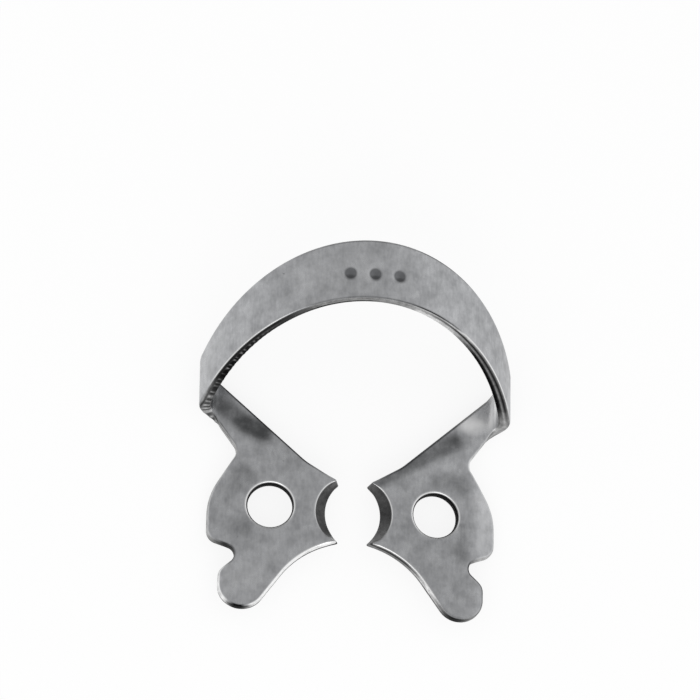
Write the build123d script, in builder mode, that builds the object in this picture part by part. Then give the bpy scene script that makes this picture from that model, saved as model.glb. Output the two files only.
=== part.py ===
import os
from math import atan, atan2, cos, degrees, radians, sin, tan

from build123d import *

# Rubber dam clamp, one bent piece of spring sheet steel. Millimetres, +Z up, +Y towards the bow,
# x = y = 0 on the axis of the tooth that the jaws close on, z = 0 where the clamp rests.
sheet_t = 0.8
edge_round = 0.18
edge_limit = 0.4 * sheet_t

# Bow: a round arch in front view that leans back and is wider at the crown than at the folds.
crown_height = 9.24
crown_width = 4.12
leg_back = 1.14
front_lean = 0.72
rear_lean = 0.81

# Fold between bow and neck, radius on the outer face.
fold_r = 1.4

# Jaw plates fall slightly away from the tooth. Each ends in two prongs.
jaw_slope = 5.0
prong_gap = 1.8
prong_span = 4.06
rear_edge_run = 2.3
rear_edge_rise = 1.43
rear_corner_r = 4.0
front_edge_run = 2.75
front_edge_rise = 0.96
front_corner_r = 6.0

# Tooth seat: the low contact edge is flatter and stands nearer the tooth than the top edge.
seat_depth = 0.95
seat_bevel = 0.6
tip_bevel = 0.38

# Forceps hole with a softened rim, and flat land towards the seat and towards the wing's bend line.
seat_land = 1.59
hole_r = 1.5
hole_rim = 0.25
hole_y = 0.27
wing_land = 0.91

# Neck from jaw to fold: its notch beside the wing, and the slopes of its two edges in plan.
neck_notch_y = 4.0
neck_notch_depth = 0.25
neck_notch_r = 0.8
neck_run = 1.34
neck_rear_slope = 0.9
neck_front_slope = 1.4

# Front lobe with a full round end but for a short flat, and the round notch that parts it from the wing.
lobe_length = 3.86
lobe_width = 2.42
lobe_flat = 0.05
lobe_reach = 0.96
lobe_side = 2.5
lobe_side_r = 0.75
shoulder_slant = 0.8
lobe_notch_depth = 0.08
lobe_notch_r = 0.6

# Side wing between the two notches. It bends down along the line that joins them.
wing_width = 1.77
wing_front_slant = 0.46
wing_back = 0.87
wing_front_r = 1.0
wing_back_r = 4.0
wing_drop = 20.0
wing_bend_r = 1.2

# Places along the jaw plate, from the tooth out to the fold.
slope = radians(jaw_slope)
prong_x = prong_gap / 2
prong_y = prong_span / 2
seat_end = prong_x + seat_depth + seat_bevel
hole_x = seat_end + seat_land + hole_r
wing_line = hole_x + hole_r + wing_land
neck_end = wing_line - neck_notch_depth + neck_run
jaw_z = fold_r * (1 - cos(slope)) + neck_end * sin(slope)

# The bow's circle runs through the crown and touches the folds. The folds are lowest, at zero height.
fold_x = neck_end * cos(slope) + fold_r * sin(slope)
fold_mid = fold_r - sheet_t / 2
crown_rise = crown_height - fold_r
bow_r = (fold_x**2 + crown_rise**2 - fold_r**2) / (2 * (crown_rise - fold_r))
arch_z = crown_height - bow_r
arch_end = atan2(fold_x, fold_r - arch_z)
fold_turn = radians(180 + jaw_slope) - arch_end
edge_r = min(edge_round, edge_limit)
rim_r = min(hole_rim, edge_limit)

# The lobe notch is set in so far that its round bottom stands just inside the bend line.
notch_half = (atan(shoulder_slant) + atan(wing_front_slant)) / 2
notch_tilt = (atan(shoulder_slant) - atan(wing_front_slant)) / 2
notch_in = lobe_notch_depth + lobe_notch_r * (1 / sin(notch_half) - 1) * cos(notch_tilt)

# Corners of the jaw outline on the jaw's own plane, before they are rounded.
lap = 0.1
wing_edge = wing_line + wing_width
rear_corner = (prong_x + rear_edge_run, prong_y + rear_edge_rise)
rear_tip = (prong_x - lap, prong_y - lap * rear_edge_rise / rear_edge_run)
front_tip = (prong_x - lap, -prong_y + lap * front_edge_rise / front_edge_run)
front_corner = (prong_x + front_edge_run, -prong_y - front_edge_rise)
lobe_outer = (wing_line + lobe_reach, front_corner[1] - lobe_length)
lobe_inner = (lobe_outer[0] - lobe_width, lobe_outer[1])
lobe_shoulder = (lobe_outer[0], lobe_outer[1] + lobe_side)
notch_x = wing_line - notch_in
lobe_notch = (notch_x, lobe_shoulder[1] + shoulder_slant * (lobe_outer[0] - notch_x))
wing_front_corner = (wing_edge, lobe_notch[1] + wing_front_slant * (wing_edge - notch_x))
wing_back_corner = (wing_edge, wing_back)
neck_notch = (wing_line - neck_notch_depth, neck_notch_y)
neck_front = (neck_end, neck_notch_y + neck_front_slope * neck_run)
neck_rear = (neck_end, rear_corner[1] + neck_rear_slope * (neck_end - rear_corner[0]))
crown_back = neck_front[1] + leg_back + front_lean * bow_r * (1 - cos(arch_end))
lobe_flank = atan2(lobe_length, lobe_inner[0] - front_corner[0])
lobe_end_r = (lobe_width - lobe_flat) / (1 + tan(lobe_flank / 2))

jaw_x_dir = (cos(slope), 0, -sin(slope))
jaw_plane = Plane(origin=(0, 0, jaw_z), x_dir=jaw_x_dir, z_dir=(sin(slope), 0, cos(slope)))
side_plane = Plane(origin=(0, 0, jaw_z), x_dir=jaw_x_dir, z_dir=(0, -1, 0))
notch_mid = (neck_notch_y + lobe_notch[1]) / 2
notch_span = neck_notch_y - lobe_notch[1]

with BuildSketch() as outline:
    with BuildLine():
        Polyline(
            neck_rear,
            rear_corner,
            rear_tip,
            front_tip,
            front_corner,
            lobe_inner,
            lobe_outer,
            lobe_shoulder,
            lobe_notch,
            wing_front_corner,
            wing_back_corner,
            neck_notch,
            neck_front,
            close=True,
        )
    make_face()
    for corner, r in (
        (rear_corner, rear_corner_r),
        (front_corner, front_corner_r),
        (lobe_inner, lobe_end_r),
        (lobe_outer, lobe_end_r),
        (lobe_shoulder, lobe_side_r),
        (lobe_notch, lobe_notch_r),
        (wing_front_corner, wing_front_r),
        (wing_back_corner, wing_back_r),
        (neck_notch, neck_notch_r),
    ):
        fillet(outline.vertices().sort_by_distance(corner)[0], r)

# Wing: bent sheet, trimmed to the outline and to the stretch between the notches.
with BuildPart() as wing:
    with BuildSketch(side_plane):
        with BuildLine():
            low = CenterArc((wing_line, -wing_bend_r), wing_bend_r, 90, -wing_drop)
            top = CenterArc((wing_line, -wing_bend_r), wing_bend_r + sheet_t, 90, -wing_drop)
            low_run = Line(low @ 1, (low @ 1) + 2 * wing_width * (low % 1))
            top_run = Line(top @ 1, (top @ 1) + 2 * wing_width * (top % 1))
            Line(low_run @ 1, top_run @ 1)
            Polyline(low @ 0, (wing_line - lap, 0), (wing_line - lap, sheet_t), top @ 0)
        make_face()
    extrude(amount=2 * notch_span, both=True)
    with BuildSketch(jaw_plane):
        add(outline.sketch)
    extrude(amount=4 * wing_width, both=True, mode=Mode.INTERSECT)
    with BuildSketch(jaw_plane):
        with Locations((wing_line, notch_mid)):
            Rectangle(4 * wing_width, notch_span)
    extrude(amount=4 * wing_width, both=True, mode=Mode.INTERSECT)

# Tooth seat cutter: a slanted cone through the contact edge and the top edge.
seat_x = prong_x + seat_depth
seat_low_r = (prong_y**2 + seat_depth**2) / (2 * seat_depth)
top_depth = seat_depth + seat_bevel - tip_bevel
seat_top_r = (prong_y**2 + top_depth**2) / (2 * top_depth)
seat_low_z = jaw_z - seat_x * tan(slope)
seat_rise = sheet_t / cos(slope) - seat_bevel * tan(slope)
with BuildPart() as seat:
    for k in (-1, 2):
        r = seat_low_r + (seat_top_r - seat_low_r) * k
        with BuildSketch(Plane.XY.offset(seat_low_z + seat_rise * k)):
            with Locations((seat_x + seat_bevel * k - r, 0)):
                Circle(r)
    loft(ruled=True)


# How far a face of the jaw looks along the sheet's normal: 1 or -1 for skin, near 0 for a cut edge.
skin_facing = 0.8


def facing(face):
    return abs(face.normal_at(face.center()).dot(jaw_plane.z_dir))


with BuildPart() as jaw:
    with BuildSketch(jaw_plane):
        add(outline.sketch)
        with Locations((wing_line + wing_width, notch_mid)):
            Rectangle(2 * wing_width, notch_span, mode=Mode.SUBTRACT)
    extrude(amount=sheet_t)
    add(wing.part)
    add(seat.part, mode=Mode.SUBTRACT)
    # Tumbled edges: all but the cut where the neck goes over into the fold.
    neck_mid = jaw_plane.from_local_coords((neck_end, (neck_front[1] + neck_rear[1]) / 2, sheet_t / 2))
    cut = jaw.faces().sort_by_distance(neck_mid)[0]
    skin = jaw.faces().filter_by(lambda f: facing(f) > skin_facing)
    wall = jaw.faces().filter_by(lambda f: facing(f) < skin_facing and f != cut)
    upright = jaw.edges().filter_by(lambda e: abs((e % 0.5).dot(jaw_plane.z_dir)) > skin_facing)
    tips = upright.sort_by(Axis.X)[:2]
    fillet((skin.edges() & wall.edges()) + tips, edge_r)
    with BuildSketch(jaw_plane):
        with Locations((hole_x, hole_y)):
            Circle(hole_r)
    extrude(amount=sheet_t, mode=Mode.SUBTRACT)
    fillet(jaw.edges(Select.LAST).filter_by(GeomType.CIRCLE), rim_r)


def arch_edge(crown_y, lean, a):
    return crown_y - lean * bow_r * (1 - cos(a))


# Edge of the strip round the fold: it leaves the bow and meets the neck in their own directions.
def fold_edge(crown_y, lean, neck_y, neck_slope, a):
    u = (a - arch_end) / fold_turn
    span = fold_mid * fold_turn
    leave = -lean * bow_r * sin(arch_end) / (bow_r - sheet_t / 2) * span
    meet = -neck_slope * span
    start = arch_edge(crown_y, lean, arch_end)
    run = (2 * u**3 - 3 * u**2 + 1) * start + (3 * u**2 - 2 * u**3) * neck_y
    return run + (u**3 - 2 * u**2 + u) * leave + (u**3 - u**2) * meet


# Plane across the strip at angle a from the crown, and the strip's width there.
def strip_section(a, side):
    crown_rear = crown_back + crown_width
    if a <= arch_end:
        front = arch_edge(crown_back, front_lean, a)
        rear = arch_edge(crown_rear, rear_lean, a)
        x = (bow_r - sheet_t / 2) * sin(a)
        z = arch_z + (bow_r - sheet_t / 2) * cos(a)
    else:
        front = fold_edge(crown_back, front_lean, neck_front[1], neck_front_slope, a)
        rear = fold_edge(crown_rear, rear_lean, neck_rear[1], neck_rear_slope, a)
        x = fold_x + fold_mid * sin(a)
        z = fold_r + fold_mid * cos(a)
    along = (cos(a), 0, -side * sin(a))
    plane = Plane(origin=(side * x, (front + rear) / 2, z), x_dir=(0, 1, 0), z_dir=along)
    return plane, rear - front


# Bow and folds: one strip through sections that stand square to the sheet, from neck cut to neck cut.
arch_steps = 6
fold_steps = 7
arch_angles = [arch_end * i / arch_steps for i in range(1, arch_steps + 1)]
fold_angles = [arch_end + fold_turn * i / fold_steps for i in range(1, fold_steps)]
half_run = arch_angles + fold_angles
cut = jaw.faces().sort_by_distance(neck_mid)[0]
sections = [mirror(cut, about=Plane.YZ)]
for a, side in [(a, -1) for a in reversed(half_run)] + [(0, 1)] + [(a, 1) for a in half_run]:
    plane, width = strip_section(a, side)
    with BuildSketch(plane) as section:
        RectangleRounded(width, sheet_t, edge_r)
    sections.append(section.sketch)
sections.append(cut)
with BuildPart() as band:
    loft(sections)

with BuildPart() as level:
    add(band.part)
    add(jaw.part)
    mirror(jaw.part, about=Plane.YZ)

# The wings reach lower than the folds, so the clamp lies back until folds and wings both rest.
rest_pitch = degrees(atan2(-jaw.part.bounding_box().min.Z, neck_rear[1]))
with BuildPart() as leaned:
    add(level.part, rotation=(-rest_pitch, 0, 0))
with BuildPart() as clamp:
    with Locations((0, 0, -leaned.part.bounding_box().min.Z)):
        add(leaned.part)

os.makedirs("parts", exist_ok=True)
clamp.part.label = "clamp"
export_step(clamp.part, "parts/clamp.step")
print("clamp", clamp.part.bounding_box(), "rest pitch", rest_pitch)
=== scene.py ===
import cmath
import math
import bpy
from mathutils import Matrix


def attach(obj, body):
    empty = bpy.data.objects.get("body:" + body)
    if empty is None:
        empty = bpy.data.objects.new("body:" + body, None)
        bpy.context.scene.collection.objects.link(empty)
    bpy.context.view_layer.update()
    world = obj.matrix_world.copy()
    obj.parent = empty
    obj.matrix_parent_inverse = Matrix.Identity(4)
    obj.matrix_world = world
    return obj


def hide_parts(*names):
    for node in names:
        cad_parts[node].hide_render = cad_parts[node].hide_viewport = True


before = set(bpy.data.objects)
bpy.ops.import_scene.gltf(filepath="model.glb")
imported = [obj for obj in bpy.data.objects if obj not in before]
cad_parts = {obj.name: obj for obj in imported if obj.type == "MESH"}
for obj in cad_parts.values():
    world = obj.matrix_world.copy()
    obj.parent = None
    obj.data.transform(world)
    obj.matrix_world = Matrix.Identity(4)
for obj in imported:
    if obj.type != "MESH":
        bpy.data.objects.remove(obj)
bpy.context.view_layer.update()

from types import SimpleNamespace

import bpy
import numpy as np
from mathutils import Matrix, Vector
from mathutils.geometry import delaunay_2d_cdt

mm = 0.001


# colours are written as sRGB hex and used as linear light
def linear(hexText):
    parts = [int(hexText[i:i + 2], 16) / 255 for i in (1, 3, 5)]
    return tuple(c / 12.92 if c <= 0.04045 else ((c + 0.055) / 1.055) ** 2.4 for c in parts) + (1.0,)


# adds one node: settings are properties or input values, links take one output or a node's first one in use
def addNode(tree, kind, settings=None, links=None):
    node = tree.nodes.new(kind)
    for key, value in (settings or {}).items():
        if isinstance(key, str) and hasattr(node, key):
            setattr(node, key, value)
        else:
            node.inputs[key].default_value = value
    for key, source in (links or {}).items():
        if hasattr(source, "outputs"):
            source = next(socket for socket in source.outputs if socket.enabled)
        tree.links.new(source, node.inputs[key])
    return node


# settings for the sums that are used most
plus, minus, times, over = ({"operation": kind} for kind in ("ADD", "SUBTRACT", "MULTIPLY", "DIVIDE"))
timesPlus = {"operation": "MULTIPLY_ADD"}


# 0 up to the start, 1 from the full place on
def fade(values, start, full):
    return np.clip((values - start) / (full - start), 0, 1)


# all in mm, as the clamp is drawn on its flat blank and then bent
clampSizes = {
    "sheet": 0.8, "edgeRound": 0.18,
    "crownHeight": 9.24, "crownWidth": 4.12, "legBack": 1.14, "frontLean": 0.72, "rearLean": 0.81,
    "foldRadius": 1.4, "jawSlope": 5.0,
    "prongGap": 1.8, "prongSpan": 4.06,
    "rearEdgeRun": 2.3, "rearEdgeRise": 1.43, "rearCornerRadius": 4.0,
    "frontEdgeRun": 2.75, "frontEdgeRise": 0.96, "frontCornerRadius": 6.0,
    "seatDepth": 0.95, "seatBevel": 0.6, "tipBevel": 0.38, "tipRound": 0.2,
    "seatLand": 1.59, "holeRadius": 1.5, "holeRim": 0.25, "holeBack": 0.27, "wingLand": 0.91,
    "neckNotchBack": 4.0, "neckNotchDepth": 0.25, "neckNotchRadius": 0.8, "neckRun": 1.34,
    "neckRearSlope": 0.9, "neckFrontSlope": 1.4,
    "lobeLength": 3.86, "lobeWidth": 2.42, "lobeFlat": 0.05, "lobeReach": 0.96,
    "lobeSide": 2.5, "lobeSideRadius": 0.75,
    "shoulderSlant": 0.8, "lobeNotchDepth": 0.08, "lobeNotchRadius": 0.6,
    "wingWidth": 1.77, "wingFrontSlant": 0.46, "wingBack": 0.87,
    "wingFrontRadius": 1.0, "wingBackRadius": 4.0, "wingDrop": 20.0, "wingBendRadius": 1.2,
    "wingUnderRound": 1.4,  # the sharp lower corner of a wing is rounded by this much more
}


# places that follow from the sizes; points on the jaw are complex numbers, x out from the tooth and y back
def settleSizes(sizes):
    g = SimpleNamespace(**sizes)
    g.slope = math.radians(g.jawSlope)
    g.prongX, g.prongY = g.prongGap / 2, g.prongSpan / 2
    g.seatEnd = g.prongX + g.seatDepth + g.seatBevel
    g.holeX = g.seatEnd + g.seatLand + g.holeRadius
    g.wingLine = g.holeX + g.holeRadius + g.wingLand
    g.neckEnd = g.wingLine - g.neckNotchDepth + g.neckRun
    g.foldX = g.neckEnd * math.cos(g.slope) + g.foldRadius * math.sin(g.slope)
    rise = g.crownHeight - g.foldRadius
    g.bowRadius = (g.foldX**2 + rise**2 - g.foldRadius**2) / (2 * (rise - g.foldRadius))
    g.bowCentre = g.crownHeight - g.bowRadius
    g.halfAngle = math.atan2(g.foldX, g.foldRadius - g.bowCentre)
    g.foldTurn = math.pi + g.slope - g.halfAngle
    g.bowMid, g.foldMid = g.bowRadius - g.sheet / 2, g.foldRadius - g.sheet / 2
    g.bowRun = g.bowMid * g.halfAngle  # lengths along the middle of the sheet, from the crown
    g.foldRun = g.foldMid * g.foldTurn
    g.runOut = g.bowRun + g.foldRun + g.neckEnd
    half = (math.atan(g.shoulderSlant) + math.atan(g.wingFrontSlant)) / 2
    tilt = (math.atan(g.shoulderSlant) - math.atan(g.wingFrontSlant)) / 2
    notchX = g.wingLine - g.lobeNotchDepth - g.lobeNotchRadius * (1 / math.sin(half) - 1) * math.cos(tilt)
    g.rearCorner = complex(g.prongX + g.rearEdgeRun, g.prongY + g.rearEdgeRise)
    g.frontCorner = complex(g.prongX + g.frontEdgeRun, -g.prongY - g.frontEdgeRise)
    g.lobeOuter = complex(g.wingLine + g.lobeReach, g.frontCorner.imag - g.lobeLength)
    g.lobeInner = g.lobeOuter - g.lobeWidth
    g.lobeShoulder = g.lobeOuter + 1j * g.lobeSide
    g.lobeNotch = complex(notchX, g.lobeShoulder.imag + g.shoulderSlant * (g.lobeOuter.real - notchX))
    wingEdge = g.wingLine + g.wingWidth
    g.wingFront = complex(wingEdge, g.lobeNotch.imag + g.wingFrontSlant * (wingEdge - notchX))
    g.wingRear = complex(wingEdge, g.wingBack)
    g.neckNotch = complex(g.wingLine - g.neckNotchDepth, g.neckNotchBack)
    g.neckFront = complex(g.neckEnd, g.neckNotchBack + g.neckFrontSlope * g.neckRun)
    g.neckRear = complex(g.neckEnd, g.rearCorner.imag + g.neckRearSlope * (g.neckEnd - g.rearCorner.real))
    g.crownFront = g.neckFront.imag + g.legBack + g.frontLean * g.bowRadius * (1 - math.cos(g.halfAngle))
    g.crownRear = g.crownFront + g.crownWidth
    lobeAngle = cmath.phase(complex(g.lobeInner.real - g.frontCorner.real, g.lobeLength))
    g.lobeEndRadius = (g.lobeWidth - g.lobeFlat) / (1 + math.tan(lobeAngle / 2))
    # more places along the outline, for the look of the edges
    g.wingSide, g.lobeFlank = (g.wingFront + g.lobeNotch) / 2, (g.lobeInner + g.frontCorner) / 2
    g.lobeEndOut, g.lobeEndIn = (g.lobeOuter - share * g.lobeWidth for share in edgeLook["lobeSpot"])
    g.frontTip, g.rearTip = complex(g.prongX, -g.prongY), complex(g.prongX, g.prongY)
    g.seatMiddle = complex(g.prongX + g.seatDepth, 0)
    g.seatFront, g.seatRear = (tip + (g.seatMiddle - tip) * edgeLook["seatShare"]
                               for tip in (g.frontTip, g.rearTip))
    return g


# how fine the mesh is: steps in mm along edges, strip and skins, a step in radians round an arc, and counts
meshSteps = {
    "edge": 0.1, "strip": 0.052, "arc": 0.14, "arcLeast": 4, "hole": 96, "seat": 30, "tip": 8, "prong": 18,
    "rim": 6, "wall": 6,  # rows over a rounding and down the wall
    "skin": 0.24, "fine": 0.1, "keepOff": 0.09,  # grid points stay this far off the edges
    "crown": 2.6, "foldSpare": 0.2,  # the grid is fine so far from the crown, and so far past the folds
}


# points along a run of corners, each corner rounded; it ends with the last rounding
def roundedRun(corners, radii, step):
    marks = [corners[0]]
    for before, corner, after, radius in zip(corners, corners[1:], corners[2:], radii):
        u = (before - corner) / abs(before - corner)
        v = (after - corner) / abs(after - corner)
        half = abs(cmath.phase(v / u)) / 2
        centre = corner + (u + v) / abs(u + v) * radius / math.sin(half)
        spoke = corner + u * radius / math.tan(half) - centre
        turn = cmath.phase((corner + v * radius / math.tan(half) - centre) / spoke)
        count = max(meshSteps["arcLeast"], math.ceil(abs(turn) * radius / step),
                    math.ceil(abs(turn) / meshSteps["arc"]))
        marks += [centre + spoke * cmath.exp(1j * turn * i / count) for i in range(count + 1)]
    run = [marks[0]]
    for mark in marks[1:]:
        run += straightRun(run[-1], mark, max(1, math.ceil(abs(mark - run[-1]) / step)))
    return run


def straightRun(start, end, count):
    return [start + (end - start) * i / count for i in range(1, count + 1)]


# edge of the strip at a distance along the sheet from the crown
def stripEdge(g, run, crownY, lean, neckEnd, neckSlope):
    if run <= g.bowRun:
        return crownY - lean * g.bowRadius * (1 - math.cos(run / g.bowMid))
    start = crownY - lean * g.bowRadius * (1 - math.cos(g.halfAngle))
    u = (run - g.bowRun) / g.foldRun
    leave = -lean * g.bowRadius * math.sin(g.halfAngle) / g.bowMid * g.foldRun
    meet = -neckSlope * g.foldRun
    blend = (2 * u**3 - 3 * u**2 + 1) * start + (3 * u**2 - 2 * u**3) * neckEnd.imag
    return blend + (u**3 - 2 * u**2 + u) * leave + (u**3 - u**2) * meet


# the two prongs and the seat between them: from the front edge, round both tips, to the rear edge
def prongRun(g, start, end, depth, tipX):
    radius = (g.prongY**2 + depth**2) / (2 * depth)
    centre = tipX + depth - radius
    tips = []
    for prong, corner in ((g.frontTip, g.frontCorner), (g.rearTip, g.rearCorner)):
        # where the prong's straight edge runs into the seat's circle
        along = (corner - prong) / abs(corner - prong)
        b = ((prong - centre).conjugate() * along).real
        tips.append(prong + along * (-b + math.sqrt(b * b - abs(prong - centre)**2 + radius**2)))
    trim = g.tipRound / radius
    first, last = cmath.phase(tips[0] - centre) + trim, cmath.phase(tips[1] - centre) - trim
    seat = [centre + cmath.rect(radius, angle) for angle in np.linspace(first, last, meshSteps["seat"] + 1)]
    run = []
    for tip, edge in ((tips[0], start), (tips[1], end)):
        away = tip + (edge - tip) / abs(edge - tip) * g.tipRound
        ends = (away, seat[0]) if edge == start else (seat[-1], away)
        bend = [(1 - t)**2 * ends[0] + 2 * t * (1 - t) * tip + t * t * ends[1]
                for t in np.linspace(0, 1, meshSteps["tip"] + 1)]
        if edge == start:
            run += straightRun(start, away, meshSteps["prong"]) + bend[1:-1] + seat
        else:
            run += bend[1:] + straightRun(away, end, meshSteps["prong"])[:-1]
    return run


# the blank's outline on the outer and the inner face, counter-clockwise, as complex numbers (run + i back)
def blankOutline(g):
    step = meshSteps["edge"]
    corners = [g.neckFront, g.neckNotch, g.wingRear, g.wingFront, g.lobeNotch, g.lobeShoulder,
               g.lobeOuter, g.lobeInner, g.frontCorner, g.frontTip]
    radii = [g.neckNotchRadius, g.wingBackRadius, g.wingFrontRadius, g.lobeNotchRadius, g.lobeSideRadius,
             g.lobeEndRadius, g.lobeEndRadius, g.frontCornerRadius]
    outside = roundedRun(corners, radii, step)
    inside = roundedRun([g.neckRear, g.rearCorner, g.rearTip], [g.rearCornerRadius], step)[::-1]
    stripCount = math.ceil((g.bowRun + g.foldRun) / meshSteps["strip"])
    runs = np.linspace(0, g.bowRun + g.foldRun, stripCount + 1)
    frontEdge = (g.crownFront, g.frontLean, g.neckFront, g.neckFrontSlope)
    rearEdge = (g.crownRear, g.rearLean, g.neckRear, g.neckRearSlope)
    front, rear = ([complex(run, stripEdge(g, run, *edge)) for run in runs] for edge in (frontEdge, rearEdge))
    # the seat slants: it bites deeper into the inner face, and the tips stand back there
    outerSeat = (g.seatDepth, g.prongX)
    innerSeat = (g.seatDepth + g.seatBevel - g.tipBevel, g.prongX + g.tipBevel)
    faces = []
    for depth, tipX in (outerSeat, innerSeat):
        jaw = outside + prongRun(g, outside[-1], inside[0], depth, tipX) + inside
        right = front[:-1] + [complex(g.runOut - p.real, p.imag) for p in jaw] + rear[-2::-1]
        left = [complex(-p.real, p.imag) for p in right[-2:0:-1]]
        faces.append(np.array(right + left))
    return faces


# how the rims are rounded: at most a share of the tightest bend, tapering towards a sharp tip by mm per mm,
# rounded more over so many mm from the wing line out, and a last row on the flat so far into the sheet
rimShape = {"tightShare": 0.6, "taper": 0.25, "wingFade": 0.6, "flatRow": 1.15}


# one closed loop of the blank with its rim rows, from the outer face over the wall to the inner face;
# each row has its points, their heights, and how far they turn from face (0) to wall (1)
def rimRows(g, outer, inner, rounding):
    edge, inward = np.full(len(outer), rounding), []
    for loop in (outer, inner):
        way = np.roll(loop, -1) - np.roll(loop, 1)
        inward.append(1j * way / np.abs(way))  # left of the way round, into the sheet
        gap = np.abs(np.roll(loop, -1) - loop)
        bend = np.angle(np.roll(inward[-1], -1) / inward[-1])
        tight = np.where(bend > 0, gap / np.maximum(bend, 1e-6), 1e6)
        edge = np.minimum(edge, rimShape["tightShare"] * np.minimum(tight, np.roll(tight, 1)))
    # the rounding tapers off towards a sharp tip; the loop is taken three times so that it has no ends
    run = np.cumsum(np.tile(np.abs(np.roll(outer, -1) - outer), 3))
    edge, taper = np.tile(edge, 3), rimShape["taper"] * run
    edge = np.minimum.accumulate(edge - taper) + taper
    edge = np.minimum.accumulate((edge + taper)[::-1])[::-1] - taper
    edge = edge[len(outer):2 * len(outer)]
    pastLine = g.runOut - np.abs(outer.real) - g.wingLine
    onWing = fade(pastLine, 0, rimShape["wingFade"]) * (outer.imag < g.neckNotchBack)
    under = edge * (1 + (g.wingUnderRound - 1) * onWing)
    half, steps = g.sheet / 2, meshSteps["rim"]
    rows = []
    for face, points, into, size in ((1, outer, inward[0], under), (-1, inner, inward[1], edge)):
        # the first row lies on the flat, just inside the rounding
        rim = [(points + into * size * rimShape["flatRow"], np.full(len(points), face * half), 0.0)]
        for k in range(steps + 1):
            turn = math.pi / 2 * k / steps
            height = face * (half - size * (1 - math.cos(turn)))
            rim.append((points + into * size * (1 - math.sin(turn)), height, math.sin(turn)**2))
        rows.append(rim)
    wall = []
    for k in range(1, meshSteps["wall"]):
        t = k / meshSteps["wall"]
        wall.append(((1 - t) * outer + t * inner, (1 - t) * (half - under) - t * (half - edge), 1.0))
    return rows[0] + wall + rows[1][::-1], inward[0], run[:len(outer)]


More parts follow.
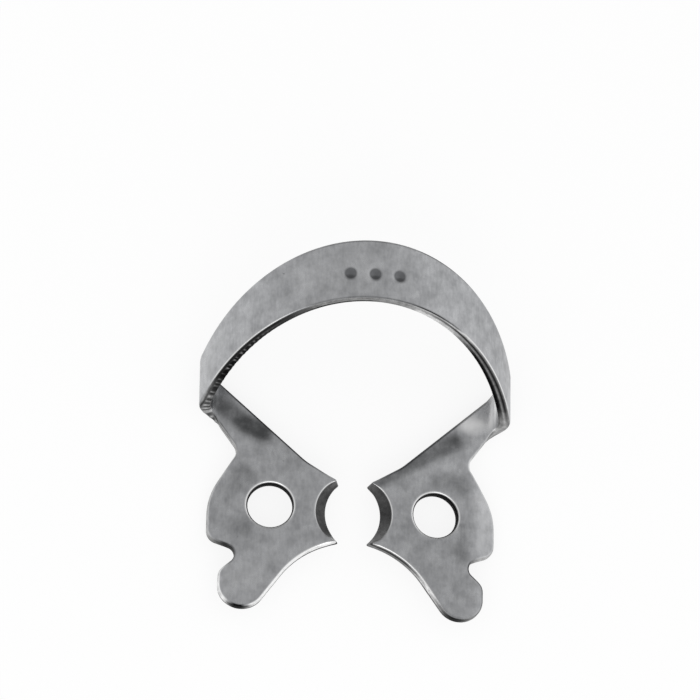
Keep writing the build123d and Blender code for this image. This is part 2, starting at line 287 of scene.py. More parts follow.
# how the edges look from place to place, in painted light and shade: the wall's tone from a painted black
# reflection (0) to a painted bright one (1), the rim from a painted black line (-1) to a painted highlight
# (1), a painted black line under the rim, and a painted dark strip of shade at the foot of the wall; these
# four follow a run in mm from the crown on the bow, and the name of a place on the jaws
edgeLook = {
    "lobeSpot": (0.35, 0.72),  # where the painted dark spot on a lobe's end starts and stops, as shares of its width
    "seatShare": 0.25,  # how far along the seat its two ends are toned, from a tip to the middle
    "soften": 2,  # points on each side over which the tones are averaged
    "left": {
        "nicks": 1.0,
        "bowFront": [(0.0, 0.33, -0.7, 0.0, 0.9), (3.8, 0.3, -0.7, 0.0, 1.0), (4.4, 0.14, -0.3, 0.0, 0.6),
                     (5.4, 0.06, 0.2, 0.0, 0.3), (6.6, 0.02, 0.8, 0.0, 0.0), (11.4, 0.02, 0.9, 0.0, 0.0),
                     (12.2, 0.2, 0.0, 0.5, 0.4), (13.2, 0.5, -0.4, 0.9, 0.3)],
        "bowRear": [(0.0, 0.3, 0.0, 0.0, 0.0), (13.0, 0.3, 0.0, 0.0, 0.0), (15.0, 0.05, -1.0, 0.0, 0.0)],
        "jaw": [("neckFront", 0.6, -0.7, 0.8, 0.3), ("neckNotch", 0.55, -0.2, 0.3, 0.3),
                ("wingRear", 0.5, 0.3, 0.0, 0.4), ("wingFront", 0.45, 0.3, 0.0, 0.5),
                ("wingSide", 0.02, -1.0, 0.6, 0.3), ("lobeNotch", 0.1, -0.5, 0.4, 0.3),
                ("lobeShoulder", 0.7, 0.8, 0.0, 0.6), ("lobeOuter", 1.0, 1.0, 0.0, 0.9),
                ("lobeEndOut", 0.0, -1.0, 1.0, 0.5), ("lobeEndIn", 0.0, -1.0, 1.0, 0.5),
                ("lobeInner", 1.0, 1.0, 0.0, 0.9), ("lobeFlank", 1.0, 1.0, 0.0, 1.0),
                ("frontCorner", 1.0, 1.0, 0.0, 1.0), ("frontTip", 1.0, 1.0, 0.0, 1.0),
                ("seatFront", 0.1, 0.0, 0.0, 0.0), ("seatMiddle", 0.13, 0.5, 0.0, 0.0),
                ("seatRear", 0.12, 1.0, 0.0, 0.3), ("rearTip", 0.2, 1.0, 0.0, 0.0),
                ("rearCorner", 0.05, -1.0, 0.0, 0.0), ("neckRear", 0.05, -1.0, 0.0, 0.0)],
    },
    "right": {
        "nicks": 0.2,
        "bowFront": [(0.0, 0.33, -0.7, 0.0, 0.3), (2.4, 0.4, -0.75, 0.0, 0.0), (3.2, 0.7, -0.95, 0.3, 0.0),
                     (4.5, 0.8, -0.95, 0.8, 0.0), (6.0, 0.85, -0.6, 1.0, 0.2), (6.6, 0.6, 0.8, 1.0, 0.4),
                     (8.2, 0.3, 0.9, 1.0, 1.0), (12.2, 0.25, 1.0, 1.0, 1.0), (13.2, 0.45, 0.3, 0.4, 0.4)],
        "bowRear": [(2.5, 0.3, -0.1, 0.0, 0.0), (3.5, 0.05, -0.9, 0.0, 0.0), (7.0, 0.05, -0.9, 0.0, 0.0),
                    (8.0, 0.3, 0.0, 0.0, 0.0), (15.0, 0.15, -0.6, 0.0, 0.0)],
        "jaw": [("neckFront", 0.5, 0.0, 0.3, 0.3), ("neckNotch", 0.7, 0.4, 0.0, 0.3),
                ("wingRear", 0.5, 0.2, 0.0, 0.3), ("wingFront", 0.5, 0.2, 0.0, 0.3),
                ("wingSide", 0.5, 0.2, 0.0, 0.3), ("lobeNotch", 0.02, -1.0, 0.0, 0.0),
                ("lobeShoulder", 0.02, -1.0, 0.0, 0.0), ("lobeOuter", 0.2, 0.0, 0.0, 0.3),
                ("lobeEndOut", 0.3, -0.2, 0.2, 0.3), ("lobeEndIn", 0.02, -0.7, 0.6, 0.3),
                ("lobeInner", 0.02, -0.5, 0.6, 0.3), ("lobeFlank", 1.0, 1.0, 0.1, 0.9),
                ("frontCorner", 0.3, 1.0, 1.0, 0.2), ("frontTip", 0.3, 1.0, 1.0, 0.2),
                ("seatFront", 0.3, 0.1, 0.0, 0.0), ("seatMiddle", 0.08, 0.9, 0.0, 0.0),
                ("seatRear", 0.12, 1.0, 0.2, 0.2), ("rearTip", 0.2, 0.6, 0.0, 0.0),
                ("rearCorner", 0.1, -0.5, 0.0, 0.0), ("neckRear", 0.15, -0.6, 0.0, 0.0)],
    },
    "hole": (0.0, 0.9, 0.0, 0.0, 0.0),  # the same four, and no nicks: painted black walls and painted highlights on the rims
}

# file nicks across the strip's front edge, in mm: they start part way down the bow and stop at the neck
nickMarks = {
    "pitch": 0.4, "depth": 0.06, "from": 6.0, "full": 10.5, "to": 16.0,
    "uneven": 1.2, "unevenScale": 0.7,  # shift in pitches, and how quickly it changes from nick to nick
}


# wall, rim, line and foot tones along the outline, and where it is nicked
def edgeTones(g, points, inward):
    way = np.cumsum(np.abs(points - np.roll(points, 1)))
    run, tones = np.abs(points.real), np.zeros((5, len(points)))
    strip = (run < g.bowRun + g.foldRun) & (points.imag > g.neckNotchBack)
    front = strip & (inward.imag > 0)
    for sign, side in ((-1, "left"), (1, "right")):
        here = points.real * sign >= 0
        for name, spots in (("bowFront", front & here), ("bowRear", strip & ~front & here)):
            stops = np.array(edgeLook[side][name]).T
            tones[:4, spots] = [np.interp(run[spots], stops[0], values) for values in stops[1:]]
        spots = np.flatnonzero(here & ~strip)
        corners = [getattr(g, name) for name, *_ in edgeLook[side]["jaw"]]
        places = np.array([complex(sign * (g.runOut - c.real), c.imag) for c in corners])
        at = way[spots[np.abs(points[spots] - places[:, None]).argmin(axis=1)]]
        order = at.argsort()
        stops = np.array([values for _, *values in edgeLook[side]["jaw"]])[order].T
        tones[:4, spots] = [np.interp(way[spots], at[order], values) for values in stops]
        grown = fade(run, nickMarks["from"], nickMarks["full"])
        tones[4] += edgeLook[side]["nicks"] * grown * (front & here & (run < nickMarks["to"]))
    soft = edgeLook["soften"]
    kernel = np.ones(2 * soft + 1) / (2 * soft + 1)
    return [np.convolve(np.concatenate([t[-soft:], t, t[:soft]]), kernel, "valid") for t in tones]


# painted reflections on the flat blank, from a painted highlight (-1) to a painted dark reflection (1)
def paintedReflectionAt(places):
    spots = places[:, 0] + 1j * places[:, 1]
    paintedReflection = np.zeros(len(places))
    for face, reflectionPatches in ((-1, steelLook["jawPaintedReflections"]), (1, steelLook["bowPaintedReflections"])):
        onFace = np.clip(0.5 + face * places[:, 2] / clampSizes["sheet"], 0, 1)
        for start, end, startReach, endReach, strength in reflectionPatches:
            along = np.clip(((spots - start) * (end - start).conjugate()).real / abs(end - start)**2, 0, 1)
            reach = startReach + along * (endReach - startReach)
            away = np.abs(spots - start - along * (end - start)) / reach
            paintedReflection += strength * onFace * np.exp(-away**4)
    return np.clip(paintedReflection, -1, 1)


# where tones lie on an edge: depth as a share of the sheet from its upper face, turned as one of the rounding
wallBands = {
    "foot": (0.5, 0.6), "nick": (0.2, 0.5),  # depths where the painted dark strip of shade and the nicks start and are full
    "line": (0.27, 0.16), "bead": (0.5, 0.11),  # middle and half width: painted black line, crests of the nicks
    "rim": (7 / 12, 5 / 12),  # only the upper rim is bright or lined, the lower one is part of the wall
    "rimStart": 0.25, "reach": 0.25, "blackReach": 0.3, "blend": 0.3,  # a black rim goes further over
}


# the look of one row of a rim, from the tones along the edge: painted reflections, highlights and shade
def rowLook(tones, depth, turned):
    wall, rim, line, foot, nicks = tones
    band = {}
    for name in ("line", "bead"):
        middle, halfWidth = wallBands[name]
        band[name] = np.exp(-((depth - middle) / halfWidth)**2)
    # painted shade: a dark strip at the foot of the wall
    footShade = foot * fade(depth, *wallBands["foot"])
    upper = fade(depth, *wallBands["rim"])
    start = upper * (wallBands["reach"] + wallBands["blackReach"] * np.maximum(-rim, 0))
    # the wall's tone runs from a painted black reflection to a painted bright one, the rim's from a painted
    # black line to a painted highlight
    return {
        "wallShare": fade(turned, start, start + wallBands["blend"]),
        "wallTone": wall * (1 - np.maximum(footShade, line * band["line"])),
        "rimTone": rim * upper * fade(turned, 0, wallBands["rimStart"]),
        "nicked": nicks * math.sqrt(turned) * fade(depth, *wallBands["nick"]),
        "beads": nicks * band["bead"],
    }


# rims round the outline and both holes: points, faces, where each loop lies, and the look of each point
def makeRims(g):
    verts, faces, loops, look = [], [], [], {}
    outer, inner = blankOutline(g)
    count = meshSteps["hole"]
    hole = np.array([cmath.rect(g.holeRadius, -2 * math.pi * i / count) for i in range(count)])
    centre = complex(g.runOut - g.holeX, g.holeBack)
    for top, bottom in ((outer, inner), (hole + centre,) * 2, (hole - centre.conjugate(),) * 2):
        isHole = top is not outer
        rows, inward, run = rimRows(g, top, bottom, g.holeRim if isHole else g.edgeRound)
        first, n = len(verts), len(top)
        tones = [np.full(n, t) for t in edgeLook["hole"]] if isHole else edgeTones(g, top, inward)
        # the outer face lies on top of the bow, and underneath on the jaws
        under = fade(np.abs(top.real), g.bowRun, g.bowRun + g.foldRun)
        under[top.imag < g.neckNotchBack] = 1
        for points, height, turned in rows:
            verts += zip(points.real, points.imag, height)
            row = rowLook(tones, 0.5 - (1 - 2 * under) * height / g.sheet, turned)
            row["edgeRun"], row["inward"] = run, np.stack([inward.real, inward.imag, np.zeros(n)], axis=1)
            for name, values in row.items():
                look.setdefault(name, []).append(values)
        for j in range(len(rows) - 1):
            for i in range(n):
                a, b = first + j * n + i, first + j * n + (i + 1) % n
                faces.append((a, a + n, b + n, b))
        loops.append((first, n, len(rows)))
    return verts, faces, loops, {name: np.concatenate(values) for name, values in look.items()}


# grid points of one skin that lie inside its outer loop, outside its holes and clear of both
def skinPoints(g, loops):
    fine, coarse, crown = meshSteps["fine"], meshSteps["skin"], meshSteps["crown"]
    foldFrom, foldTo = g.bowRun - meshSteps["foldSpare"], g.runOut - g.wingLine + meshSteps["foldSpare"]
    stops = [(0, crown, fine), (crown, foldFrom, coarse),
             (foldFrom, foldTo, fine), (foldTo, g.runOut, coarse)]
    runs = np.concatenate([np.arange(a, b, s) for a, b, s in stops])
    runs = np.concatenate([-runs[:0:-1], runs])
    spots = []
    for k, run in enumerate(runs):
        step = fine if abs(run) < crown else coarse
        low = loops[0].imag.min() + (k % 2) * step / 2
        spots.append(run + 1j * np.arange(low, loops[0].imag.max(), step))
    spots = np.concatenate(spots)
    inside = np.zeros(len(spots), bool)
    for loop in loops:
        for p, q in zip(loop, np.roll(loop, -1)):
            if p.imag != q.imag:
                crossing = (p.imag > spots.imag) != (q.imag > spots.imag)
                slant = (q.real - p.real) / (q.imag - p.imag)
                inside ^= crossing & (spots.real < p.real + slant * (spots.imag - p.imag))
    spots, edge = spots[inside], np.concatenate(loops)
    clear = np.array([np.abs(edge - p).min() > meshSteps["keepOff"] for p in spots])
    return spots[clear]


# a skin of triangles over one face, between the last rows of the rims
def addSkin(g, face, verts, faces, loops):
    ids, rings, edges = [], [], []
    for first, n, rowCount in loops:
        start = first if face == 1 else first + (rowCount - 1) * n
        base = len(ids)
        ids += range(start, start + n)
        rings.append(np.array([complex(*verts[k][:2]) for k in range(start, start + n)]))
        edges += [(base + i, base + (i + 1) % n) for i in range(n)]
    spots = skinPoints(g, rings)
    ids += range(len(verts), len(verts) + len(spots))
    verts += zip(spots.real, spots.imag, np.full(len(spots), face * g.sheet / 2))
    flat = [Vector(verts[k][:2]) for k in ids]
    _, _, triangles, origin, _, _ = delaunay_2d_cdt(flat, edges, [], 1, 1e-7)
    ends = np.cumsum([n for _, n, _ in loops])
    for triangle in triangles:
        corners = [origin[k][0] for k in triangle]
        onRings = set(np.searchsorted(ends, corners, "right"))
        if len(onRings) == 1 and 0 < min(onRings) < len(loops):
            continue  # all three corners are on one hole's rim, so it spans that hole
        corners = [ids[k] for k in corners]
        faces.append(corners if face == 1 else corners[::-1])


# the flat blank as one mesh, with the looks of its points as attributes
def makeBlank(g):
    verts, faces, loops, look = makeRims(g)
    for face in (1, -1):
        addSkin(g, face, verts, faces, loops)
    mesh = bpy.data.meshes.new("clampBlank")
    mesh.from_pydata([tuple(map(float, v)) for v in verts], [], faces)
    places = np.array(verts, np.float32)
    # painted reflections on the blank: dark patches above 0 and painted highlights below 0
    look["blank"], look["paintedReflection"] = places, paintedReflectionAt(places)
    look["wing"] = (places[:, 1] < g.neckNotchBack) & (np.abs(places[:, 0]) < g.runOut - g.wingLine)
    for name, values in look.items():
        isVector = np.ndim(values) == 2
        full = np.zeros((len(verts), 3) if isVector else len(verts), np.float32)
        full[:len(values)] = values  # the skins come last and have no edge look
        stored = mesh.attributes.new(name, "FLOAT_VECTOR" if isVector else "FLOAT", "POINT")
        stored.data.foreach_set("vector" if isVector else "value", full.ravel())
    return mesh


# plain round punch marks in a row on the crown, in mm: one in the middle and so many on each side of it
punchMarks = {
    "pitch": 1.6, "radius": 0.6, "depth": 0.18, "eachSide": 1.0,
    "row": 0.42,  # how far back the row lies, as a share of the crown's width
    "faceShare": 0.45,  # points higher than this share of the sheet are on the outer face
}


# Geometry Nodes: bends the flat blank over the bow, the folds and the wings, in mm, and scales it to metres
def bendTree(g, steel):
    tree = bpy.data.node_groups.new("bendBlank", "GeometryNodeTree")
    inputs = {
        "Bow Radius": g.bowMid, "Bow Half Angle": g.halfAngle, "Bow Centre": g.bowCentre,
        "Fold Radius": g.foldMid, "Fold Turn": g.foldTurn, "Run Out": g.runOut,
        "Wing Line": g.wingLine, "Wing Drop": math.radians(g.wingDrop),
        "Wing Bend Radius": g.wingBendRadius + g.sheet / 2,
        "Mark Pitch": punchMarks["pitch"], "Mark Radius": punchMarks["radius"],
        "Mark Depth": punchMarks["depth"], "Mark Row": g.crownFront + punchMarks["row"] * g.crownWidth,
        "Outer Face": punchMarks["faceShare"] * g.sheet,
        "Nick Pitch": nickMarks["pitch"], "Nick Depth": nickMarks["depth"], "Unit": mm,
    }
    tree.interface.new_socket("Geometry", in_out="INPUT", socket_type="NodeSocketGeometry")
    tree.interface.new_socket("Geometry", in_out="OUTPUT", socket_type="NodeSocketGeometry")
    sockets = {n: tree.interface.new_socket(n, in_out="INPUT", socket_type="NodeSocketFloat") for n in inputs}
    given = addNode(tree, "NodeGroupInput").outputs
    calc, named = "ShaderNodeMath", "GeometryNodeInputNamedAttribute"
    wing, nicked, edgeRun = (addNode(tree, named, {"data_type": "FLOAT", "Name": name})
                             for name in ("wing", "nicked", "edgeRun"))
    inward = addNode(tree, named, {"data_type": "FLOAT_VECTOR", "Name": "inward"})

    # file nicks: small hollows pushed into the front edge
    turns = addNode(tree, calc, over, {0: edgeRun, 1: given["Nick Pitch"]})
    unevenLook = {"noise_dimensions": "1D", "Scale": nickMarks["unevenScale"], "Detail": 2.0}
    uneven = addNode(tree, "ShaderNodeTexNoise", unevenLook, {"W": turns})
    shifted = addNode(tree, calc, {**timesPlus, 1: nickMarks["uneven"]}, {0: uneven, 2: turns})
    phase = addNode(tree, calc, {**times, 1: math.pi}, {0: shifted})
    wave = addNode(tree, calc, {"operation": "SINE"}, {0: phase})
    hollow = addNode(tree, calc, {"operation": "ABSOLUTE"}, {0: wave})
    nick = addNode(tree, calc, times, {0: hollow, 1: nicked})
    weight = addNode(tree, calc, times, {0: nick, 1: given["Nick Depth"]})
    push = addNode(tree, "ShaderNodeVectorMath", {"operation": "SCALE"}, {0: inward, "Scale": weight})
    place = addNode(tree, "GeometryNodeInputPosition")
    filed = addNode(tree, "ShaderNodeVectorMath", plus, {0: place, 1: push})
    xyz = addNode(tree, "ShaderNodeSeparateXYZ", None, {0: filed}).outputs

    # punch marks: a round bowl on the outer face, at the nearest of the centres
    count = addNode(tree, calc, over, {0: xyz[0], 1: given["Mark Pitch"]})
    nearest = addNode(tree, calc, {"operation": "ROUND"}, {0: count})
    upTo = addNode(tree, calc, {"operation": "MINIMUM", 1: punchMarks["eachSide"]}, {0: nearest})
    index = addNode(tree, calc, {"operation": "MAXIMUM", 1: -punchMarks["eachSide"]}, {0: upTo})
    middle = addNode(tree, calc, times, {0: index, 1: given["Mark Pitch"]})
    aside = addNode(tree, calc, minus, {0: xyz[0], 1: middle})
    behind = addNode(tree, calc, minus, {0: xyz[1], 1: given["Mark Row"]})
    spot = addNode(tree, "ShaderNodeCombineXYZ", None, {0: aside, 1: behind})
    away = addNode(tree, "ShaderNodeVectorMath", {"operation": "LENGTH"}, {0: spot}).outputs["Value"]
    hollowOut = {"interpolation_type": "SMOOTHSTEP", "To Min": 1.0, "To Max": 0.0}
    bowl = addNode(tree, "ShaderNodeMapRange", hollowOut, {"Value": away, "From Max": given["Mark Radius"]})
    outside = addNode(tree, calc, {"operation": "GREATER_THAN"}, {0: xyz[2], 1: given["Outer Face"]})
    mark = addNode(tree, calc, times, {0: bowl, 1: outside})
    pressed = addNode(tree, calc, times, {0: mark, 1: given["Mark Depth"]})
    level = addNode(tree, calc, minus, {0: xyz[2], 1: pressed})

    # wing: past its line the sheet falls away round the bend and then straight
    run = addNode(tree, calc, {"operation": "ABSOLUTE"}, {0: xyz[0]})
    across = addNode(tree, calc, minus, {0: given["Run Out"], 1: run})
    past = addNode(tree, calc, minus, {0: across, 1: given["Wing Line"]})
    reach = addNode(tree, calc, times, {0: past, 1: wing})
    spread = addNode(tree, calc, minus, {0: given["Wing Bend Radius"], 1: level})
    sinDrop = addNode(tree, calc, {"operation": "SINE"}, {0: given["Wing Drop"]})
    tanDrop = addNode(tree, calc, {"operation": "TANGENT"}, {0: given["Wing Drop"]})
    bendEnd = addNode(tree, calc, times, {0: spread, 1: sinDrop})
    onBend = addNode(tree, calc, {"operation": "MINIMUM"}, {0: reach, 1: bendEnd})
    square = addNode(tree, calc, times, {0: spread, 1: spread})
    legSquare = addNode(tree, calc, times, {0: onBend, 1: onBend})
    rest = addNode(tree, calc, minus, {0: square, 1: legSquare})
    upright = addNode(tree, calc, {"operation": "SQRT"}, {0: rest})
    sag = addNode(tree, calc, minus, {0: spread, 1: upright})
    tail = addNode(tree, calc, minus, {0: reach, 1: onBend})
    fall = addNode(tree, calc, timesPlus, {0: tail, 1: tanDrop, 2: sag})
    height = addNode(tree, calc, plus, {0: level, 1: fall})

    # strip: turned so far over the bow, then over the fold, then straight along the jaw
    bowTurn = addNode(tree, calc, over, {0: run, 1: given["Bow Radius"]})
    bowPart = addNode(tree, calc, {"operation": "MINIMUM"}, {0: bowTurn, 1: given["Bow Half Angle"]})
    bowRun = addNode(tree, calc, times, {0: given["Bow Radius"], 1: given["Bow Half Angle"]})
    foldRun = addNode(tree, calc, times, {0: given["Fold Radius"], 1: given["Fold Turn"]})
    pastBow = addNode(tree, calc, minus, {0: run, 1: bowRun})
    foldAll = addNode(tree, calc, over, {0: pastBow, 1: given["Fold Radius"]})
    foldLow = addNode(tree, calc, {"operation": "MAXIMUM", 1: 0.0}, {0: foldAll})
    foldPart = addNode(tree, calc, {"operation": "MINIMUM"}, {0: foldLow, 1: given["Fold Turn"]})
    pastFold = addNode(tree, calc, minus, {0: pastBow, 1: foldRun})
    # a wing lies in the jaw's plane although it reaches out past the fold
    farBack = -100.0  # mm, further than any wing reaches
    wingBow = addNode(tree, calc, times, {0: wing, 1: given["Bow Half Angle"]})
    wingFold = addNode(tree, calc, times, {0: wing, 1: given["Fold Turn"]})
    wingOut = addNode(tree, calc, {**times, 1: farBack}, {0: wing})
    first = addNode(tree, calc, {"operation": "MAXIMUM"}, {0: bowPart, 1: wingBow})
    second = addNode(tree, calc, {"operation": "MAXIMUM"}, {0: foldPart, 1: wingFold})
    ahead = addNode(tree, calc, {"operation": "MAXIMUM"}, {0: pastFold, 1: wingOut})
    turn = addNode(tree, calc, plus, {0: first, 1: second})
    sinFirst = addNode(tree, calc, {"operation": "SINE"}, {0: first})
    cosFirst = addNode(tree, calc, {"operation": "COSINE"}, {0: first})
    sinTurn = addNode(tree, calc, {"operation": "SINE"}, {0: turn})
    cosTurn = addNode(tree, calc, {"operation": "COSINE"}, {0: turn})
    offset = addNode(tree, calc, minus, {0: given["Bow Radius"], 1: given["Fold Radius"]})
    spoke = addNode(tree, calc, plus, {0: given["Fold Radius"], 1: height})
    outBow = addNode(tree, calc, times, {0: offset, 1: sinFirst})
    outFold = addNode(tree, calc, timesPlus, {0: spoke, 1: sinTurn, 2: outBow})
    out = addNode(tree, calc, timesPlus, {0: ahead, 1: cosTurn, 2: outFold})
    upBow = addNode(tree, calc, timesPlus, {0: offset, 1: cosFirst, 2: given["Bow Centre"]})
    upFold = addNode(tree, calc, timesPlus, {0: spoke, 1: cosTurn, 2: upBow})
    down = addNode(tree, calc, times, {0: ahead, 1: sinTurn})
    up = addNode(tree, calc, minus, {0: upFold, 1: down})
    side = addNode(tree, calc, {"operation": "SIGN"}, {0: xyz[0]})
    sideways = addNode(tree, calc, times, {0: out, 1: side})
    bent = addNode(tree, "ShaderNodeCombineXYZ", None, {0: sideways, 1: xyz[1], 2: up})
    metres = addNode(tree, "ShaderNodeVectorMath", {"operation": "SCALE"}, {0: bent, "Scale": given["Unit"]})
    store, perPoint = "GeometryNodeStoreNamedAttribute", {"data_type": "FLOAT", "domain": "POINT"}
    nickKept = addNode(tree, store, {**perPoint, "Name": "nick"},
                       {"Geometry": given["Geometry"], "Value": nick})
    markKept = addNode(tree, store, {**perPoint, "Name": "mark"}, {"Geometry": nickKept, "Value": mark})
    moved = addNode(tree, "GeometryNodeSetPosition", None, {"Geometry": markKept, "Position": metres})
    real = addNode(tree, "GeometryNodeRealizeInstances", None, {0: moved})
    dressed = addNode(tree, "GeometryNodeSetMaterial", {"Material": steel}, {"Geometry": real})
    addNode(tree, "NodeGroupOutput", None, {0: dressed})
    return tree, {sockets[n].identifier: v for n, v in inputs.items()}


# Spring steel, punched from sheet, bent, hardened and tumbled: a soft grey satin with faint cloudy
# patches, fine brushing across the strip and tiny pits. Painted dark reflections lie on the necks, painted
# shade and dark reflections on the punched edges, and painted highlights along the jaws' front edges.
steelLook = {
    # 4e4f50 is the colour of the painted dark reflections
    "face": "#b6b7b9", "cloud": "#949597", "pit": "#6e6f71", "paintedReflection": "#4e4f50", "mark": "#6a6b6d",
    # 0c0c0d is painted black reflection and shade on the edges, #f2f2f2 painted highlights and bright
    # reflections
    "edge": "#0c0c0d", "paintedHighlight": "#f2f2f2",
    # the grain and the brushing are really some 0.02 mm fine, and are drawn coarser so that they show
    "cloudMm": 1.0, "pitMm": 0.45, "grainMm": 0.08, "waveMm": 4.0, "brushMm": (0.16, 0.6),
    "grainHeight": 0.0016, "waveHeight": 0.03,
    "tornRoughness": 0.75, "buffedRoughness": 0.18,
    # which part of a pattern shows, and how strongly
    "cloudRange": {"From Min": 0.36, "From Max": 0.66},
    "brushRange": {"From Min": 0.35, "From Max": 0.65}, "brushShare": 0.28,
    "pitRange": {"From Min": 0.68, "From Max": 0.76},
    "paintedDarkRange": {"From Min": 0.25, "From Max": 0.7, "To Min": 0.8, "To Max": 1.15},
    "markDarkRange": {"From Min": 0.12, "From Max": 0.4},
    "crestRange": {"From Min": 0.05, "From Max": 0.4, "To Min": 0.5, "To Max": 0.0},
    "hollowRange": {"From Min": 0.35, "From Max": 0.9, "To Min": 1.0, "To Max": 0.25},
    "mottleRange": {"From Min": 0.35, "From Max": 0.65, "To Min": 0.7, "To Max": 1.2},
    "satinRange": {"From Min": 0.3, "From Max": 0.7, "To Min": 0.25, "To Max": 0.36},  # the faces' roughness
    # start and end on the blank (mm, run along the sheet + i back), half width at both, and strength:
    # painted dark reflection above 0, painted highlight below 0; on the jaws' top face and on the bow's
    "jawPaintedReflections": [
        (-13.8 + 8.6j, -15.2 + 7.6j, 1.4, 1.0, 0.14), (-14.6 + 7.4j, -18.0 + 5.3j, 0.6, 0.75, 0.68),
        (-16.9 + 5.8j, -18.1 + 5.5j, 0.9, 0.7, 0.32), (-18.6 + 4.2j, -20.0 + 3.4j, 1.2, 1.2, 0.12),
        (23.0 + 2.2j, 17.6 + 5.5j, 0.6, 0.75, 0.72), (17.0 + 5.75j, 15.4 + 6.5j, 0.6, 0.45, 0.3),
        (16.8 - 2.6j, 16.8 - 0.4j, 0.45, 0.3, 0.35), (17.0 + 2.6j, 18.4 + 2.6j, 0.8, 0.6, 0.4),
        (-16.8 + 2.2j, -16.6 + 1.6j, 0.9, 0.7, 0.35), (-16.9 - 1.3j, -16.6 - 1.2j, 0.6, 0.6, 0.3),
        (-15.0 - 1.0j, -15.2 + 1.2j, 0.8, 0.8, 0.2), (16.8 - 5.0j, 20.5 + 0.5j, 2.4, 2.4, 0.15),
        (14.3 + 8.6j, 16.2 + 7.0j, 1.5, 1.0, -0.8), (15.2 - 1.5j, 15.4 + 1.5j, 0.8, 0.8, -0.1),
        (-16.2 - 5.0j, -17.2 - 4.6j, 0.9, 0.9, -0.08),
    ],
    "bowPaintedReflections": [
        (-13.0 + 10.8j, -13.2 + 8.6j, 2.2, 1.6, -0.12), (-4.0 + 13.5j, -1.0 + 14.2j, 1.4, 1.4, -0.06),
    ],
}


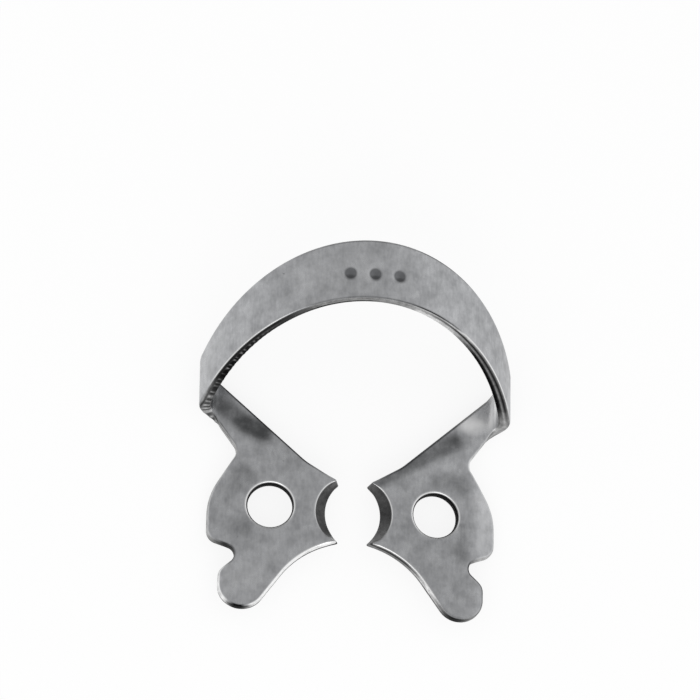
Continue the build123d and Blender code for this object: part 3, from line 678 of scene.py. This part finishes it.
def springSteel():
    look = steelLook
    material = bpy.data.materials.new("tumbledSpringSteel")
    material.use_nodes = True
    tree = material.node_tree
    shader = tree.nodes["Principled BSDF"]
    shader.inputs["Metallic"].default_value = 1.0
    mix, ramp, noise = "ShaderNodeMix", "ShaderNodeMapRange", "ShaderNodeTexNoise"
    calc, kept = "ShaderNodeMath", "ShaderNodeAttribute"
    colours, numbers = {"data_type": "RGBA"}, {"data_type": "FLOAT"}
    # black for painted shade and dark reflections, near white for painted highlights and bright reflections
    dark, light = linear(look["edge"]), linear(look["paintedHighlight"])
    # the blank's own place in mm, so the patches follow the bent sheet
    blank = addNode(tree, kept, {"attribute_name": "blank"}).outputs["Vector"]
    wallShare, wallTone, rimTone, paintedReflection, beads, nick, mark = (
        addNode(tree, kept, {"attribute_name": name}).outputs["Fac"]
        for name in ("wallShare", "wallTone", "rimTone", "paintedReflection", "beads", "nick", "mark"))

    # satin face: cloudy patches, with brushing as noise drawn out across the strip, and pits
    cloudLook = {"Scale": 1 / look["cloudMm"], "Detail": 5.0, "Roughness": 0.65}
    cloud = addNode(tree, noise, cloudLook, {"Vector": blank})
    cloudy = addNode(tree, ramp, look["cloudRange"], {"Value": cloud})
    brushRun, brushBack = look["brushMm"]
    drawOut = {**times, 1: (1 / brushRun, 1 / brushBack, 1.0)}
    drawn = addNode(tree, "ShaderNodeVectorMath", drawOut, {0: blank})
    brush = addNode(tree, noise, {"Scale": 1.0, "Detail": 3.0}, {"Vector": drawn})
    streaks = addNode(tree, ramp, look["brushRange"], {"Value": brush})
    brushed = addNode(tree, mix, {**numbers, "Factor": look["brushShare"]}, {"A": cloudy, "B": streaks})
    faceTones = {"A": linear(look["face"]), "B": linear(look["cloud"])}
    face = addNode(tree, mix, {**colours, **faceTones}, {"Factor": brushed})
    pitLook = {"Scale": 1 / look["pitMm"], "Detail": 5.0, "Roughness": 0.7}
    pits = addNode(tree, noise, pitLook, {"Vector": blank})
    pitted = addNode(tree, ramp, look["pitRange"], {"Value": pits})
    worn = addNode(tree, mix, {**colours, "B": linear(look["pit"])}, {"Factor": pitted, "A": face})

    # painted dark reflections, broken up by the cloud pattern, painted highlights, and a darker tone inside
    # the punch marks
    patch = addNode(tree, ramp, look["paintedDarkRange"], {"Value": cloud})
    paintedDark = addNode(tree, calc, {**times, "use_clamp": True}, {0: paintedReflection, 1: patch})
    paintedDarkened = addNode(tree, mix, {**colours, "B": linear(look["paintedReflection"])}, {"Factor": paintedDark, "A": worn})
    paintedBright = addNode(tree, calc, {**times, 1: -1.0}, {0: paintedReflection})
    paintedLightened = addNode(tree, mix, {**colours, "B": light}, {"Factor": paintedBright, "A": paintedDarkened})
    # a darker tone inside the punch marks
    markDark = addNode(tree, ramp, look["markDarkRange"], {"Value": mark})
    marked = addNode(tree, mix, {**colours, "B": linear(look["mark"])}, {"Factor": markDark, "A": paintedLightened})

    # rims: painted highlights, and painted black lines
    bright = addNode(tree, mix, {**colours, "B": light}, {"Factor": rimTone, "A": marked})
    black = addNode(tree, calc, {**times, 1: -1.0}, {0: rimTone})
    rim = addNode(tree, mix, {**colours, "B": dark}, {"Factor": black, "A": bright})

    # walls: painted dark and bright reflections, mottled; where they are nicked the crests take the opposite
    # painted tone, and the hollows get painted shade
    crest = addNode(tree, ramp, look["crestRange"], {"Value": nick})
    # the crests of the nicks take the opposite painted tone
    showing = addNode(tree, calc, times, {0: crest, 1: beads})
    against = addNode(tree, calc, {**minus, 0: 1.0}, {1: wallTone})
    beaded = addNode(tree, mix, numbers, {"Factor": showing, "A": wallTone, "B": against})
    patchy = addNode(tree, ramp, look["mottleRange"], {"Value": pits})
    mottled = addNode(tree, calc, times, {0: beaded, 1: patchy})
    # painted shade in the nick hollows
    hollowShade = addNode(tree, ramp, look["hollowRange"], {"Value": nick})
    tone = addNode(tree, calc, times, {0: mottled, 1: hollowShade})
    wall = addNode(tree, mix, {**colours, "A": dark, "B": light}, {"Factor": tone})
    shade = addNode(tree, mix, colours, {"Factor": wallShare, "A": rim, "B": wall})
    tree.links.new(shade.outputs["Result"], shader.inputs["Base Color"])

    # roughness: satin faces, buffed rims, and walls from torn to buffed
    satin = addNode(tree, ramp, look["satinRange"], {"Value": cloud})
    sheen = addNode(tree, mix, {**numbers, "B": look["buffedRoughness"]}, {"Factor": rimTone, "A": satin})
    tornToBuffed = {"To Min": look["tornRoughness"], "To Max": look["buffedRoughness"]}
    ground = addNode(tree, ramp, tornToBuffed, {"Value": tone})
    dull = addNode(tree, mix, numbers, {"Factor": wallShare, "A": sheen, "B": ground})
    tree.links.new(dull.outputs["Result"], shader.inputs["Roughness"])

    # the tumbled grain, on a sheet that is not quite flat
    grain = addNode(tree, noise, {"Scale": 1 / look["grainMm"], "Detail": 2.0}, {"Vector": blank})
    wave = addNode(tree, noise, {"Scale": 1 / look["waveMm"], "Detail": 1.0}, {"Vector": blank})
    waveBump = {"Strength": 1.0, "Distance": look["waveHeight"] * mm}
    grainBump = {"Strength": 1.0, "Distance": look["grainHeight"] * mm}
    rolling = addNode(tree, "ShaderNodeBump", waveBump, {"Height": wave})
    bump = addNode(tree, "ShaderNodeBump", grainBump, {"Height": grain, "Normal": rolling})
    tree.links.new(bump.outputs["Normal"], shader.inputs["Normal"])
    return material


def makeClamp():
    g = settleSizes(clampSizes)
    blank = makeBlank(g)
    print("blank:", len(blank.vertices), "points", len(blank.polygons), "faces")
    steel = springSteel()
    flat = bpy.data.objects.new("flatBlank", blank)
    bpy.context.scene.collection.objects.link(flat)
    tree, values = bendTree(g, steel)
    bend = flat.modifiers.new("bend", "NODES")
    bend.node_group = tree
    for identifier, value in values.items():
        bend[identifier] = value
    bpy.context.view_layer.update()
    evaluated = flat.evaluated_get(bpy.context.evaluated_depsgraph_get())
    mesh = bpy.data.meshes.new_from_object(evaluated)
    flat.modifiers.remove(bend)
    bpy.data.objects.remove(flat)
    # the wings reach lower than the folds, so the clamp lies back until both rest on the floor
    places = np.array([v.co for v in mesh.vertices])
    jaw = places[places[:, 1] < g.neckNotchBack]
    lean = math.atan2(-jaw[:, 2].min(), g.neckRear.imag * mm)
    mesh.transform(Matrix.Rotation(-lean, 4, "X"))
    low = min(v.co.z for v in mesh.vertices)
    mesh.transform(Matrix.Translation((0, 0, -low)))
    mesh.shade_smooth()
    mesh.name = "clampBody"
    clamp = bpy.data.objects.new("clampBody", mesh)
    bpy.context.scene.collection.objects.link(clamp)
    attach(clamp, "root")
    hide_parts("clamp")
    print("clamp bent, lying back", round(math.degrees(lean), 2), "degrees")


# a white sheet under a soft grey sky that is paler towards the horizon and to the right, darker low at
# the back, and a large soft box in front that draws the bright line along the front edges; metres and watts
studio = {
    "floor": "#ffffff", "floorSize": 2.0,
    "zenith": 0.68, "horizon": 1.0, "right": 0.18, "backdropShare": 0.85,
    "backShade": 0.6, "backFrom": 0.5, "backFull": 0.9,  # how dark the back is, where it starts and is full
    "box": {"place": (-0.06, -0.38, 0.25), "size": (0.6, 0.45), "power": 0.9},
}


def makeStudio():
    # uncoated white paper: matt, with no gloss
    paper = bpy.data.materials.new("whitePaper")
    paper.use_nodes = True
    shader = paper.node_tree.nodes["Principled BSDF"]
    shader.inputs["Base Color"].default_value = linear(studio["floor"])
    shader.inputs["Roughness"].default_value = 1.0
    shader.inputs["Specular IOR Level"].default_value = 0.0
    # the sheet reads white to the camera and in the steel, and keeps a soft shadow
    tree, calc, ramp = paper.node_tree, "ShaderNodeMath", "ShaderNodeMapRange"
    path = addNode(tree, "ShaderNodeLightPath").outputs
    seen = addNode(tree, calc, {"operation": "MAXIMUM"}, {0: path["Is Camera Ray"], 1: path["Is Glossy Ray"]})
    clear = addNode(tree, calc, {"operation": "MAXIMUM"}, {0: seen, 1: path["Is Transmission Ray"]})
    share = addNode(tree, calc, {**times, 1: studio["backdropShare"]}, {0: clear})
    white = addNode(tree, "ShaderNodeEmission", {"Color": linear(studio["floor"]), "Strength": 1.0})
    sheetLook = addNode(tree, "ShaderNodeMixShader", None, {0: share, 1: shader, 2: white})
    tree.links.new(sheetLook.outputs[0], tree.nodes["Material Output"].inputs["Surface"])
    half = studio["floorSize"] / 2
    sheet = bpy.data.meshes.new("floor")
    corners = [(-half, -half, 0), (half, -half, 0), (half, half, 0), (-half, half, 0)]
    sheet.from_pydata(corners, [], [(0, 1, 2, 3)])
    sheet.materials.append(paper)
    floor = bpy.data.objects.new("floor", sheet)
    bpy.context.scene.collection.objects.link(floor)

    world = bpy.data.worlds.new("studio")
    bpy.context.scene.world = world
    world.use_nodes = True
    tree = world.node_tree
    way = addNode(tree, "ShaderNodeTexCoord").outputs["Generated"]
    xyz = addNode(tree, "ShaderNodeSeparateXYZ", None, {0: way}).outputs
    sky = addNode(tree, ramp, {"To Min": studio["horizon"], "To Max": studio["zenith"]}, {"Value": xyz["Z"]})
    side = addNode(tree, ramp, {"To Max": studio["right"]}, {"Value": xyz["X"]})
    lit = addNode(tree, calc, plus, {0: sky, 1: side})
    darker = {
        "interpolation_type": "SMOOTHSTEP", "From Min": studio["backFrom"], "From Max": studio["backFull"],
        "To Min": 1.0, "To Max": 1 - studio["backShade"],
    }
    shade = addNode(tree, ramp, darker, {"Value": xyz["Y"]})
    level = addNode(tree, calc, times, {0: lit, 1: shade})
    tree.links.new(level.outputs[0], tree.nodes["Background"].inputs["Strength"])
    tree.nodes["Background"].inputs["Color"].default_value = (1, 1, 1, 1)

    box = studio["box"]
    lamp = bpy.data.lights.new("frontBox", "AREA")
    lamp.shape, lamp.size, lamp.size_y, lamp.energy = "RECTANGLE", *box["size"], box["power"]
    holder = bpy.data.objects.new("frontBox", lamp)
    holder.location = box["place"]
    holder.rotation_euler = Vector(box["place"]).to_track_quat("Z", "Y").to_euler()
    bpy.context.scene.collection.objects.link(holder)
    print("studio: floor, sky and front box")


# the photograph's view: from above and a little to the left of the front, on a long lens; lengths in mm
view = {
    "centre": (-0.791, 10.794, 3.653),
    # directions out of the picture and across it
    "back": (-0.14700, -0.28538, 0.94707), "right": (0.98685, 0.02282, 0.16005),
    "width": 46.667, "distance": 400.0, "sensor": 36.0, "clip": (10.0, 10000.0),
}


def makeCamera():
    data = bpy.data.cameras.new("camera")
    data.sensor_width = view["sensor"]
    data.lens = view["sensor"] * view["distance"] / view["width"]
    data.clip_start, data.clip_end = (length * mm for length in view["clip"])
    camera = bpy.data.objects.new("camera", data)
    back = Vector(view["back"]).normalized()
    right = (Vector(view["right"]) - back * back.dot(Vector(view["right"]))).normalized()
    up = back.cross(right)
    turn = Matrix((right, up, back)).transposed().to_4x4()
    camera.matrix_world = Matrix.Translation((Vector(view["centre"]) + back * view["distance"]) * mm) @ turn
    bpy.context.scene.collection.objects.link(camera)
    bpy.context.scene.camera = camera
    print("camera set at", view["distance"], "mm")


makeClamp()
makeStudio()
makeCamera()
bpy.context.scene.view_settings.view_transform = "Standard"
